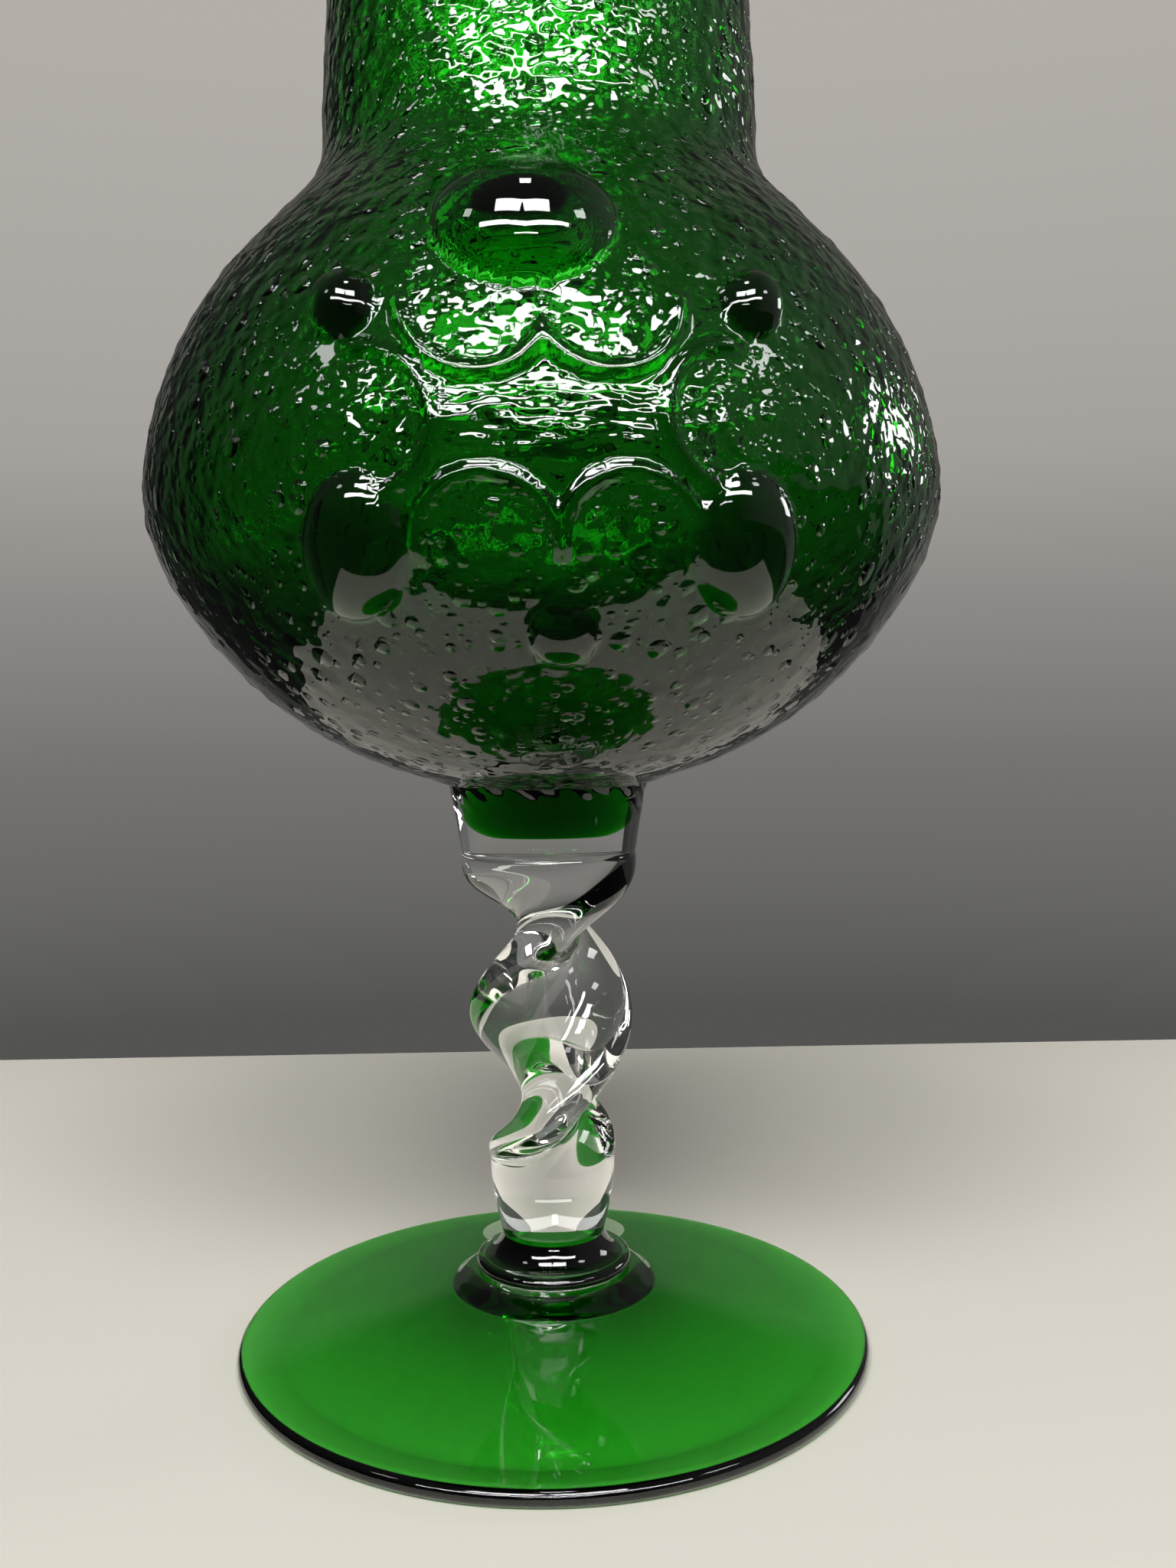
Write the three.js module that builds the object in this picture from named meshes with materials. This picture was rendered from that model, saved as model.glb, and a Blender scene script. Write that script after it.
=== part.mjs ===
// Footed vase of green and clear glass, in millimetres, +Z up, standing on z = 0, an ornament facing -Y.
// Five pieces of glass joined hot: foot, lower merese, twisted stem, collar, and moulded bowl with its neck.
import * as THREE from "three";

// Faces that are fused on the real vase are drawn this far apart
const fusedGap = 0.3;

// Foot: a shallow cone with a raised ring, hollow underneath, resting on a flat band near its rim
const footRadius = 75;
const footRimThickness = 3.8;
const footSeatRadius = 17;
const footRingRadius = 24.2;
const footRingHeight = 7.5;
const footConeHeight = 10.5;
const footRestWidth = 10;
const footHollowRise = 4.5;

// Lower merese: the clear button between foot and stem
const mereseRadius = 18.6;
const mereseHeight = 8;
const mereseRimRadius = 2.2;

// Twisted stem: a right-handed bar of two lobes that opens into a round cup above and ends in a barrel below
const stemLength = 91.5;
const lobeRadius = 8.6;
const lobeOffset = 10.8;
const barHollow = 0.16;
const lobeSquareness = 0.4;
const halfTurn = 41.9;
const faceOnHeight = 53.1;
const cupRadius = 20.6;
const cupBlend = 17;
const cupEdge = 2;
const barrelRadius = 14.8;
const barrelFootRadius = 12.1;
const barrelHeight = 17;
const barrelBlend = 13;

// Collar: the clear cup round the green stub of the bowl
const collarRadius = 23.6;
const collarHeight = 15.6;
const stubRadius = 13.4;
const stubDepth = 11.4;
const stubRounding = 6;

// Bowl: a round bottom, a crease at the widest height, a domed shoulder and a neck with a flared rim
const bowlRadius = 90.4;
const bowlLowerHeight = 58.7;
const bowlLowerArc = 90.4;
const shoulderArc = 85;
const shoulderDegrees = 44;
const neckRadius = 49.4;
const neckWaistRadius = 47.6;
const neckWaistHeight = 48;
const neckFillet = 13;
const neckHeight = 108;
const rimRadius = 55;
const wallThickness = 3.6;
const floorThickness = 8;
const floorRadius = 14;
const floorRounding = 1;

// Ornament of the mould: a six-pointed star whose sides curve round fields, and a boss beyond each point
const motifCount = 2;
const motifRise = 10.4;
const motifShift = 1.2;
const motifMargin = 5;
const starLean = 0.08;
const fieldRadius = 10.6;
const fieldDepth = 0.8;
const fieldEdge = 1.2;
const starRidge = 1.5;
const starRidgeWidth = 5.4;
const starReach = { u: 46, v: 32, fade: 0.14 };
const fields = [
  { u: 15, v: 18.4, inwards: [0, -1] },
  { u: 36.5, v: 0.8, inwards: [-1, 0] },
  { u: 14.8, v: -18.6, inwards: [0, 1] },
];
const ridgeFade = 4;
const topBoss = { u: -4.5, v: 41.8, halfWidth: 17.2, halfHeight: 14.6, rise: 8.4 };
const upperBoss = { u: 38.4, v: 23.4, halfWidth: 6.8, halfHeight: 7.2, rise: 4.6 };
const lowerBoss = { u: 36.5, v: -22.6, halfWidth: 11.2, halfHeight: 14.4, rise: 5.2 };
const bottomBoss = { u: 2, v: -41, halfWidth: 6.8, halfHeight: 7.4, rise: 2.6 };
const mirrored = (boss) => ({ ...boss, u: -boss.u });
const bosses = [topBoss, upperBoss, mirrored(upperBoss), lowerBoss, mirrored(lowerBoss), bottomBoss];

// Shares of a curve's span at which its control points lie
const nearShare = 0.4;
const farShare = 0.6;

// Facets: the bowl has fine steps and rows only where an ornament lies
const ornamentSteps = 32;
const betweenSteps = 10;
const plainSteps = 44;
const ornamentRow = 3.25;
const plainRow = 14;
const innerRow = 18;
const tangentStep = 0.4;
const latheSteps = 40;
const footSteps = 56;
const curveSteps = 4;
const arcSteps = 5;
const stemSides = 22;
const stemRows = 42;

// Heights of the seats, each standing on the one before
const footHeight = footConeHeight + footRingHeight;
const mereseBottom = footHeight + fusedGap;
const mereseTop = mereseBottom + mereseHeight;
const stemBottom = mereseTop + fusedGap;
const stemTop = stemBottom + stemLength;
const collarBottom = stemTop + fusedGap;
const collarTop = collarBottom + collarHeight;
const bowlBottom = collarTop + fusedGap;
const creaseHeight = bowlBottom + bowlLowerHeight;

const greenGlass = { color: 0x0b5a14, roughness: 0.04, metalness: 0, transparent: true, opacity: 0.8 };
const clearGlass = { color: 0xe4ebe4, roughness: 0.02, metalness: 0, transparent: true, opacity: 0.35 };

const clamp01 = (x) => Math.min(1, Math.max(0, x));
const smoothStep = (x) => clamp01(x) ** 2 * (3 - 2 * clamp01(x));
const mix = (a, b, t) => a + (b - a) * t;
const point = (r, z) => new THREE.Vector2(r, z);
const radians = THREE.MathUtils.degToRad;
const fullTurn = 2 * Math.PI;
const straightAngle = 180;
const evenly = (from, to, count) => Array.from({ length: count }, (_, i) => mix(from, to, i / count));

function namedPiece(name, geometry, glass) {
  const mesh = new THREE.Mesh(geometry, new THREE.MeshStandardMaterial(glass));
  mesh.name = name;
  return mesh;
}

// A profile of radius and height, listed from the axis below, outwards and up, turned about Z
function turned(profile, steps) {
  return new THREE.LatheGeometry(profile, steps).rotateX(Math.PI / 2);
}

// Faces of the band between two rings, each step taken on the ring whose angle lags behind
function bandFaces(low, high) {
  const angleAfter = (ring, side) => [...ring.angles, fullTurn, Infinity][side + 1];
  const at = (ring, side) => ring.start + (side % ring.angles.length);
  const faces = [];
  let i = 0;
  let j = 0;
  while (i < low.angles.length || j < high.angles.length) {
    if (angleAfter(low, i) <= angleAfter(high, j)) {
      faces.push(at(low, i), at(low, i + 1), at(high, j));
      i++;
    } else {
      faces.push(at(low, i), at(high, j + 1), at(high, j));
      j++;
    }
  }
  return faces;
}

// A closed skin over rings of points at given angles, from a pole on the axis to another
function skinned(firstPole, rings, lastPole) {
  let start = 1;
  for (const ring of rings) {
    ring.start = start;
    start += ring.points.length;
  }
  const poles = [
    { start: 0, angles: [0] },
    { start, angles: [0] },
  ];
  const levels = [poles[0], ...rings, poles[1]];
  const faces = levels.slice(1).flatMap((level, i) => bandFaces(levels[i], level));
  const drawn = [];
  for (let i = 0; i < faces.length; i += 3) {
    const corners = faces.slice(i, i + 3);
    if (new Set(corners).size === 3) drawn.push(...corners);
  }
  const points = [firstPole, ...rings.flatMap((ring) => ring.points), lastPole];
  const geometry = new THREE.BufferGeometry().setFromPoints(points);
  geometry.setIndex(drawn);
  geometry.computeVertexNormals();
  return geometry;
}

// Points on an arc round a centre, between two angles in degrees from +r towards +z
function arcPoints(centreR, centreZ, radius, from, to, steps) {
  const arc = new THREE.EllipseCurve(centreR, centreZ, radius, radius, radians(from), radians(to));
  return arc.getPoints(steps);
}

function makeFoot() {
  const rimArc = footRimThickness / 2;
  const restOuter = footRadius - rimArc;
  const restInner = restOuter - footRestWidth;
  const hollow = new THREE.QuadraticBezierCurve(
    point(0, footHollowRise),
    point(restInner * farShare, footHollowRise),
    point(restInner, 0),
  );
  const cone = new THREE.QuadraticBezierCurve(
    point(restOuter, footRimThickness),
    point(mix(restOuter, footRingRadius, farShare), mix(footRimThickness, footConeHeight, farShare)),
    point(footRingRadius, footConeHeight),
  );
  const ring = new THREE.CubicBezierCurve(
    point(footRingRadius, footConeHeight),
    point(footRingRadius, mix(footConeHeight, footHeight, farShare)),
    point(mix(footSeatRadius, footRingRadius, farShare), footHeight),
    point(footSeatRadius, footHeight),
  );
  const profile = [
    ...hollow.getPoints(curveSteps),
    ...arcPoints(restOuter, rimArc, rimArc, -90, 90, arcSteps),
    ...cone.getPoints(curveSteps).slice(1),
    ...ring.getPoints(arcSteps).slice(1),
    point(0, footHeight),
  ];
  return namedPiece("foot", turned(profile, footSteps), greenGlass);
}

function makeLowerMerese() {
  const rimCentre = point(mereseRadius - mereseRimRadius, mereseBottom + mereseRimRadius);
  const slope = new THREE.QuadraticBezierCurve(
    point(rimCentre.x, rimCentre.y + mereseRimRadius),
    point(mix(rimCentre.x, barrelFootRadius, farShare), rimCentre.y + mereseRimRadius),
    point(barrelFootRadius, mereseTop),
  );
  const profile = [
    point(0, mereseBottom),
    ...arcPoints(rimCentre.x, rimCentre.y, mereseRimRadius, -90, 90, arcSteps),
    ...slope.getPoints(curveSteps).slice(1),
    point(0, mereseTop),
  ];
  return namedPiece("lower_merese", turned(profile, latheSteps), clearGlass);
}

// One ring of the stem: the bar's section, rounded off towards either end and turned in step with its height
function stemRing(height) {
  const turn = (Math.PI * (height - faceOnHeight)) / halfTurn;
  const toCup = smoothStep((height - (stemLength - cupEdge - cupBlend)) / cupBlend);
  const toBarrel = smoothStep((barrelHeight + barrelBlend - height) / barrelBlend);
  const swell = Math.sin((Math.PI / 2) * clamp01(height / barrelHeight));
  const roundRadius = toCup > toBarrel ? cupRadius : mix(barrelFootRadius, barrelRadius, swell);
  const roundness = Math.max(toCup, toBarrel);
  const angles = evenly(0, fullTurn, stemSides);
  const points = angles.map((angle) => {
    const c = Math.cos(angle);
    const s = Math.sin(angle);
    const lobe = c / Math.hypot(c, lobeSquareness * s);
    const x = mix(lobeOffset * lobe + lobeRadius * c, roundRadius * c, roundness);
    const y = mix(lobeRadius * s * (1 - barHollow * (1 - lobe ** 2)), roundRadius * s, roundness);
    return new THREE.Vector3(
      x * Math.cos(turn) - y * Math.sin(turn),
      x * Math.sin(turn) + y * Math.cos(turn),
      stemBottom + height,
    );
  });
  return { angles, points };
}

function makeTwistedStem() {
  const rings = [...evenly(0, stemLength, stemRows), stemLength].map(stemRing);
  const low = new THREE.Vector3(0, 0, stemBottom);
  const high = new THREE.Vector3(0, 0, stemTop);
  return namedPiece("twisted_stem", skinned(low, rings, high), clearGlass);
}

// The stub's rounded end from the axis outwards or, with a clearance, that of the pocket which holds it
function stubProfile(clearance) {
  const rounding = stubRounding + clearance;
  const floor = collarTop - stubDepth - clearance;
  return [
    point(0, floor),
    ...arcPoints(stubRadius + clearance - rounding, floor + rounding, rounding, -90, 0, curveSteps),
  ];
}

function makeCollar() {
  const side = new THREE.QuadraticBezierCurve(
    point(cupRadius, collarBottom),
    point(mix(cupRadius, collarRadius, nearShare), mix(collarBottom, collarTop, farShare)),
    point(collarRadius, collarTop),
  );
  const pocket = [...stubProfile(fusedGap), point(stubRadius + fusedGap, collarTop)];
  const profile = [point(0, collarBottom), ...side.getPoints(curveSteps), ...pocket.reverse()];
  return namedPiece("collar", turned(profile, latheSteps), clearGlass);
}

// The bowl's outside from the collar to the rim, and how far along it the crease lies
function bowlOutline() {
  const base = point(collarRadius, bowlBottom);
  const crease = point(bowlRadius, creaseHeight);
  const chord = crease.clone().sub(base);
  const inward = point(-chord.y, chord.x).normalize();
  const lowerCentre = base
    .clone()
    .addScaledVector(chord, 0.5)
    .addScaledVector(inward, Math.sqrt(bowlLowerArc ** 2 - chord.lengthSq() / 4));
  const angleOf = (p) => Math.atan2(p.y - lowerCentre.y, p.x - lowerCentre.x);
  const lower = new THREE.EllipseCurve(
    lowerCentre.x,
    lowerCentre.y,
    bowlLowerArc,
    bowlLowerArc,
    angleOf(base),
    angleOf(crease),
  );

  const slope = radians(shoulderDegrees);
  const shoulderCentre = bowlRadius - shoulderArc;
  const shoulder = new THREE.EllipseCurve(shoulderCentre, creaseHeight, shoulderArc, shoulderArc, 0, slope);
  const shoulderEnd = shoulder.getPoint(1);
  const corner = point(neckRadius, shoulderEnd.y + (shoulderEnd.x - neckRadius) / Math.tan(slope));
  const setback = neckFillet * Math.tan(slope / 2);
  const filletStart = point(corner.x + setback * Math.sin(slope), corner.y - setback * Math.cos(slope));
  const neckStart = point(corner.x, corner.y + setback);
  const waist = point(neckWaistRadius, corner.y + neckWaistHeight);
  const rim = point(rimRadius, corner.y + neckHeight - wallThickness / 2);

  const outline = new THREE.CurvePath();
  outline.add(lower);
  outline.add(shoulder);
  outline.add(new THREE.LineCurve(shoulderEnd, filletStart));
  outline.add(new THREE.QuadraticBezierCurve(filletStart, corner, neckStart));
  outline.add(
    new THREE.CubicBezierCurve(
      neckStart,
      point(neckRadius, mix(neckStart.y, waist.y, nearShare)),
      point(neckWaistRadius, mix(neckStart.y, waist.y, farShare)),
      waist,
    ),
  );
  outline.add(
    new THREE.CubicBezierCurve(
      waist,
      point(neckWaistRadius, mix(waist.y, rim.y, nearShare)),
      point(mix(neckWaistRadius, rimRadius, nearShare), mix(waist.y, rim.y, farShare + nearShare / 2)),
      rim,
    ),
  );
  return { outline, length: outline.getLength(), creaseAt: lower.getLength() };
}

// Height of the ornament over the plain wall, at distances u round the bowl and v up it from its middle
function ornament(u, v) {
  const side = Math.abs(u + starLean * v);
  const away = fields.map((f) => Math.hypot(side - f.u, v - f.v));
  const field = fields[away.indexOf(Math.min(...away))];
  const fromField = Math.min(...away) - fieldRadius;
  const facing = (side - field.u) * field.inwards[0] + (v - field.v) * field.inwards[1];
  const halfRidge = starRidgeWidth / 2;
  const reach = Math.hypot(side / starReach.u, v / starReach.v);
  const inStar = 1 - smoothStep((reach - 1 + starReach.fade) / starReach.fade);
  const ridgeShare = inStar * smoothStep(facing / ridgeFade + 1);
  const ridge = starRidge * ridgeShare * Math.max(0, 1 - ((fromField - halfRidge) / halfRidge) ** 2);
  const hollow = fieldDepth * smoothStep(-fromField / fieldEdge);
  const boss = bosses.map((b) => {
    const across = Math.hypot((u - b.u) / b.halfWidth, (v - b.v) / b.halfHeight);
    return b.rise * Math.sqrt(Math.max(0, 1 - across ** 2));
  });
  return Math.max(ridge - hollow, ...boss);
}

// A point of the outline at a distance along it, moved by an offset along the outward normal
function offsetPoint(outline, length, along, offset) {
  const step = tangentStep / length;
  const t = along / length;
  const tangent = outline
    .getPoint(Math.min(1, t + step))
    .sub(outline.getPoint(Math.max(0, t - step)))
    .normalize();
  return outline.getPoint(t).add(point(tangent.y, -tangent.x).multiplyScalar(offset));
}

// Distances along the outline, in even rows no longer than a given step
const rowsBetween = (from, to, step) => evenly(from, to, Math.ceil((to - from) / step));

// Angles round the bowl from the middle of the front ornament, fine across each ornament
function ornamentAngles() {
  const pitch = fullTurn / motifCount;
  const half = (Math.max(...bosses.map((b) => b.u + b.halfWidth)) + motifMargin) / bowlRadius;
  return evenly(0, fullTurn, motifCount).flatMap((middle) => [
    ...evenly(middle, middle + half, ornamentSteps / 2),
    ...evenly(middle + half, middle + pitch - half, betweenSteps),
    ...evenly(middle + pitch - half, middle + pitch, ornamentSteps / 2),
  ]);
}

function makeBowl() {
  const { outline, length, creaseAt } = bowlOutline();
  const motifAt = creaseAt + motifRise;
  const lowest = motifAt + Math.min(...bosses.map((b) => b.v - b.halfHeight));
  const highest = motifAt + Math.max(...bosses.map((b) => b.v + b.halfHeight));
  const around = (p, angle) => new THREE.Vector3(p.x * Math.sin(angle), -p.x * Math.cos(angle), p.y);
  const plainRing = (p) => {
    const angles = evenly(0, fullTurn, plainSteps);
    return { angles, points: angles.map((angle) => around(p, angle)) };
  };
  const outer = (along) => plainRing(outline.getPoint(along / length));

  const pitch = fullTurn / motifCount;
  const angles = ornamentAngles();
  const ornamentRing = (along) => {
    const v = along - motifAt;
    const bare = outline.getPoint(along / length);
    const points = angles.map((angle) => {
      const u = bare.x * (angle - pitch * Math.round(angle / pitch)) - motifShift;
      return around(offsetPoint(outline, length, along, ornament(u, v)), angle);
    });
    return { angles, points };
  };

  const wallAt = (along) => mix(floorThickness, wallThickness, smoothStep(along / creaseAt));
  const inner = (along) => offsetPoint(outline, length, along, -wallAt(along));
  const innerFloor = bowlBottom + floorThickness;
  const clearOfFloor = (along) => inner(along).y > innerFloor + floorRounding && inner(along).x > floorRadius;
  const floorStart = rowsBetween(0, creaseAt, floorRounding).find(clearOfFloor);
  const inside = [...rowsBetween(floorStart, length, innerRow), length].reverse().map(inner);
  const rimOuter = outline.getPoint(1);
  const rimMiddle = rimOuter.clone().add(inner(length)).multiplyScalar(0.5);
  const rimTilt = THREE.MathUtils.radToDeg(Math.atan2(rimOuter.y - rimMiddle.y, rimOuter.x - rimMiddle.x));
  const lipEnd = rimTilt + straightAngle;
  const lip = arcPoints(rimMiddle.x, rimMiddle.y, wallThickness / 2, rimTilt, lipEnd, arcSteps);

  const rings = [
    ...stubProfile(0).slice(1).map(plainRing),
    plainRing(point(stubRadius, bowlBottom)),
    ...rowsBetween(0, lowest, plainRow).map(outer),
    ...[...rowsBetween(lowest, highest, ornamentRow), highest].map(ornamentRing),
    ...rowsBetween(highest, length, plainRow).slice(1).map(outer),
    outer(length),
    ...lip.slice(1, -1).map(plainRing),
    ...inside.map(plainRing),
    plainRing(point(floorRadius, innerFloor)),
  ];
  const firstPole = new THREE.Vector3(0, 0, stubProfile(0)[0].y);
  const lastPole = new THREE.Vector3(0, 0, innerFloor);
  return namedPiece("bowl", skinned(firstPole, rings, lastPole), greenGlass);
}

const vase = new THREE.Group();
vase.add(makeFoot(), makeLowerMerese(), makeTwistedStem(), makeCollar(), makeBowl());

export default vase;
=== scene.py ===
import itertools
import math
import bpy
import numpy as np
from mathutils import Matrix, Vector


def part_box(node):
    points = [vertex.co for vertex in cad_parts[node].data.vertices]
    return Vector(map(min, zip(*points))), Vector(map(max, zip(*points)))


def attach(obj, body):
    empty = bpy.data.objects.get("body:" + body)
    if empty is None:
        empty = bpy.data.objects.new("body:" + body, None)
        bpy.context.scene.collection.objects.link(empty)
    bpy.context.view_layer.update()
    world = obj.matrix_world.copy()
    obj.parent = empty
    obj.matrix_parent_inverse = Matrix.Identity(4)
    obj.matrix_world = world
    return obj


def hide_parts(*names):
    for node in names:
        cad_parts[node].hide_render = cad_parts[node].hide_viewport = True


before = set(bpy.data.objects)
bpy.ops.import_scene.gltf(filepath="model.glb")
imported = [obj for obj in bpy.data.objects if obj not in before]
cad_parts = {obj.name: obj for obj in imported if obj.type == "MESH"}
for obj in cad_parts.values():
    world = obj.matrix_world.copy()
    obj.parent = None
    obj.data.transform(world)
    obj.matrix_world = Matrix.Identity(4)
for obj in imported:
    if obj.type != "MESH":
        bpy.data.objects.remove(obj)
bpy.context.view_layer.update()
mm = 0.001
fullTurn = 2 * math.pi
sharpFrom = 60  # degrees: edges that bend more are shaded sharp


# Meshes: rings of points round Z, profiles of radius and height, and the faces between them

def smooth(x):
    # 0 below 0, 1 above 1, and 3x^2 - 2x^3 between
    x = np.clip(x, 0, 1)
    return x * x * (3 - 2 * x)


def mix(a, b, t):
    # a at t = 0, b at t = 1
    return a + (b - a) * t


def arc(centreR, centreZ, radius, start, end, count):
    # count + 1 points on a circle round a centre, from one angle to another in degrees from +r towards +z
    angle = np.radians(np.linspace(start, end, count + 1))
    return np.stack([centreR + radius * np.cos(angle), centreZ + radius * np.sin(angle)], 1)


def bezier(corners, count):
    # the Bernstein sum of 3 or 4 control points, at count + 1 even steps
    t = np.linspace(0, 1, count + 1)[:, None]
    corners = np.array(corners, float)
    order = len(corners) - 1
    return sum(math.comb(order, i) * t ** i * (1 - t) ** (order - i) * corners[i] for i in range(order + 1))


def line(start, end, count):
    # count + 1 even points from one to the other
    return np.linspace(start, end, count + 1)


def chain(*parts):
    # profile parts end to end, with a point that two of them share kept once
    points = np.concatenate(parts)
    step = np.linalg.norm(np.diff(points, axis=0), axis=1)
    shortest = 1e-6
    return points[np.concatenate([[True], step > shortest])]


def arcLength(points):
    # distance along a profile at each of its points
    return np.concatenate([[0], np.cumsum(np.linalg.norm(np.diff(points, axis=0), axis=1))])


def along(points, distance):
    # the profile's points at distances along it
    length = arcLength(points)
    return np.stack([np.interp(distance, length, points[:, i]) for i in (0, 1)], -1)


def around(r, z, angle):
    # points r from the axis and z up, at angles from the front towards +X
    x, y = r * np.sin(angle), -r * np.cos(angle)
    return np.stack([x, y, np.broadcast_to(z, x.shape)], -1)


def turned(profile, angle):
    # a ring round the axis for each point of a profile
    return around(profile[:, :1], profile[:, 1:], angle)


def gridFaces(rows, columns, first=0):
    # quads between rings of as many points, closed round the ring
    row, column = np.mgrid[0:rows - 1, 0:columns]
    after = (column + 1) % columns
    corners = [row * columns + column, row * columns + after, (row + 1) * columns + after,
               (row + 1) * columns + column]
    return np.stack(corners, -1).reshape(-1, 4) + first


def fanFaces(pole, ring, upwards):
    # triangles between a pole and a ring of points, facing down the axis or up it
    after = np.roll(ring, -1)
    corners = [np.full_like(ring, pole), after, ring]
    if upwards:
        corners = [corners[0], ring, after]
    return np.stack(corners, -1)


def halvingFaces(fine, coarse):
    # three triangles for each pair of steps of a fine ring that meet one step of a ring with half as many
    # points
    pair = np.arange(len(coarse))
    fineNow, fineMiddle, fineNext = fine[2 * pair], fine[2 * pair + 1], np.roll(fine, -2)[2 * pair]
    coarseNext = np.roll(coarse, -1)
    return np.concatenate([
        np.stack([fineNow, fineMiddle, coarse], -1),
        np.stack([fineMiddle, coarseNext, coarse], -1),
        np.stack([fineMiddle, fineNext, coarseNext], -1),
    ])


def closedFaces(rows, columns):
    # quads between rings and a fan at each end, to two poles that come after the rings' points
    ring, pole = np.arange(columns), rows * columns
    return [gridFaces(rows, columns), fanFaces(pole, ring, False),
            fanFaces(pole + 1, ring + (rows - 1) * columns, True)]


def closedPoints(rings, firstHeight, lastHeight):
    # the rings' points and then the two poles, on the axis
    return np.concatenate([rings.reshape(-1, 3), [[0, 0, firstHeight], [0, 0, lastHeight]]])


def addShare(mesh, name, domain, share):
    # a number for each face or point of a mesh, which its material reads by name
    mesh.attributes.new(name, "FLOAT", domain).data.foreach_set("value", share.astype(np.float32))


def makePiece(name, vertices, faceSets, material, fusedAt, shares=None):
    # one smooth-shaded mesh at the origin from numpy faces; fusedAt marks faces by their centres, and
    # shares give each point its part of a texture
    mesh = bpy.data.meshes.new(name)
    faces = [face for faceSet in faceSets for face in faceSet.tolist()]
    mesh.from_pydata((vertices * mm).tolist(), [], faces)
    mesh.materials.append(material)
    mesh.polygons.foreach_set("use_smooth", np.ones(len(faces), bool))
    centre = np.concatenate([vertices[faceSet].mean(1) for faceSet in faceSets])
    addShare(mesh, "fused", "FACE", fusedAt(centre))
    for texture, share in (shares or {}).items():
        addShare(mesh, texture, "POINT", share)
    mesh.validate()
    mesh.update()
    mesh.set_sharp_from_angle(angle=math.radians(sharpFrom))
    piece = bpy.data.objects.new(name, mesh)
    bpy.context.scene.collection.objects.link(piece)
    return piece


def turnedPiece(name, profile, sides, material, fusedAt, drawnIn=None):
    # a profile from the axis round to the axis again, turned about Z; drawnIn gives the share of the radius
    # that is left, by radius, height and angle
    angle = np.linspace(0, fullTurn, sides, endpoint=False)
    radius, height = profile[1:-1, :1], profile[1:-1, 1:]
    if drawnIn is not None:
        radius = radius * drawnIn(radius, height, angle)
    rings = around(radius, height, angle)
    vertices = closedPoints(rings, profile[0, 1], profile[-1, 1])
    return makePiece(name, vertices, closedFaces(len(rings), sides), material, fusedAt)


def boxOf(node):
    # a node's lowest and highest corners, in millimetres
    low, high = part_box(node)
    return np.array(low) / mm, np.array(high) / mm


def seat(piece, node):
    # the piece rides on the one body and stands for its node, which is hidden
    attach(piece, "root")
    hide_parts(node)
    print(node, len(piece.data.vertices), "points")


# Fused joints, in millimetres: each piece starts just over the one below, and the clear pieces reach up
# across the gap that the frame leaves under the next

joint = {"reach": 0.28, "gap": 0.02, "tolerance": 0.01}


def atEnds(bottom, top):
    # a test for the faces on a piece's two ends
    def fusedAt(centre):
        return (centre[:, 2] > top - joint["tolerance"]) | (centre[:, 2] < bottom + joint["tolerance"])

    return fusedAt


def fromAxis(centre):
    # distance from Z
    return np.hypot(centre[:, 0], centre[:, 1])


# Materials

glassTones = {
    "footGreen": (0.08, 0.80, 0.0),
    "footDepth": 450,
    "stubDepth": 500,
    "bowlGreen": (0.06, 0.73, 0.02),
    "bowlDepth": 860,
    "clear": (0.90, 0.92, 0.76),
    "clearDepth": 3.0,
    "refraction": 1.5,
    "roughness": 0.0,
}


def mathNodes(nodes, links):
    # two makers of nodes: one for a math operation on two sockets or numbers, one for a smooth step between
    # two values
    def combined(operation, a, b):
        node = nodes.new("ShaderNodeMath")
        node.operation = operation
        for socket, value in zip(node.inputs, (a, b)):
            if isinstance(value, (int, float)):
                socket.default_value = value
            else:
                links.new(value, socket)
        return node.outputs["Value"]

    def ranged(value, start, end, low=0, high=1):
        node = nodes.new("ShaderNodeMapRange")
        node.interpolation_type = "SMOOTHSTEP"
        for name, number in (("From Min", start), ("From Max", end), ("To Min", low), ("To Max", high)):
            node.inputs[name].default_value = number
        links.new(value, node.inputs["Value"])
        return node.outputs["Result"]

    return combined, ranged


def glassMaterial(name, absorbed, depth, surfaceNormal=None):
    # a refracting surface round a body that takes up light: what passes falls off with the way through it;
    # a face that is melted to its neighbour bends nothing
    material = bpy.data.materials.new(name)
    material.use_nodes = True
    nodes, links = material.node_tree.nodes, material.node_tree.links
    nodes.clear()
    output = nodes.new("ShaderNodeOutputMaterial")
    surface = nodes.new("ShaderNodeBsdfPrincipled")
    surface.inputs["Base Color"].default_value = (1, 1, 1, 1)
    surface.inputs["Roughness"].default_value = glassTones["roughness"]
    surface.inputs["IOR"].default_value = glassTones["refraction"]
    surface.inputs["Transmission Weight"].default_value = 1
    links.new(surface.outputs["BSDF"], output.inputs["Surface"])
    fused = nodes.new("ShaderNodeAttribute")
    fused.attribute_name = "fused"
    bend = nodes.new("ShaderNodeMapRange")
    bend.inputs["To Min"].default_value = glassTones["refraction"]
    bend.inputs["To Max"].default_value = 1
    links.new(fused.outputs["Fac"], bend.inputs["Value"])
    links.new(bend.outputs["Result"], surface.inputs["IOR"])
    body = nodes.new("ShaderNodeVolumeAbsorption")
    body.inputs["Color"].default_value = (*absorbed, 1)
    body.inputs["Density"].default_value = depth
    links.new(body.outputs["Volume"], output.inputs["Volume"])
    if surfaceNormal is not None:
        links.new(surfaceNormal(nodes, links), surface.inputs["Normal"])
    return material


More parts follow.
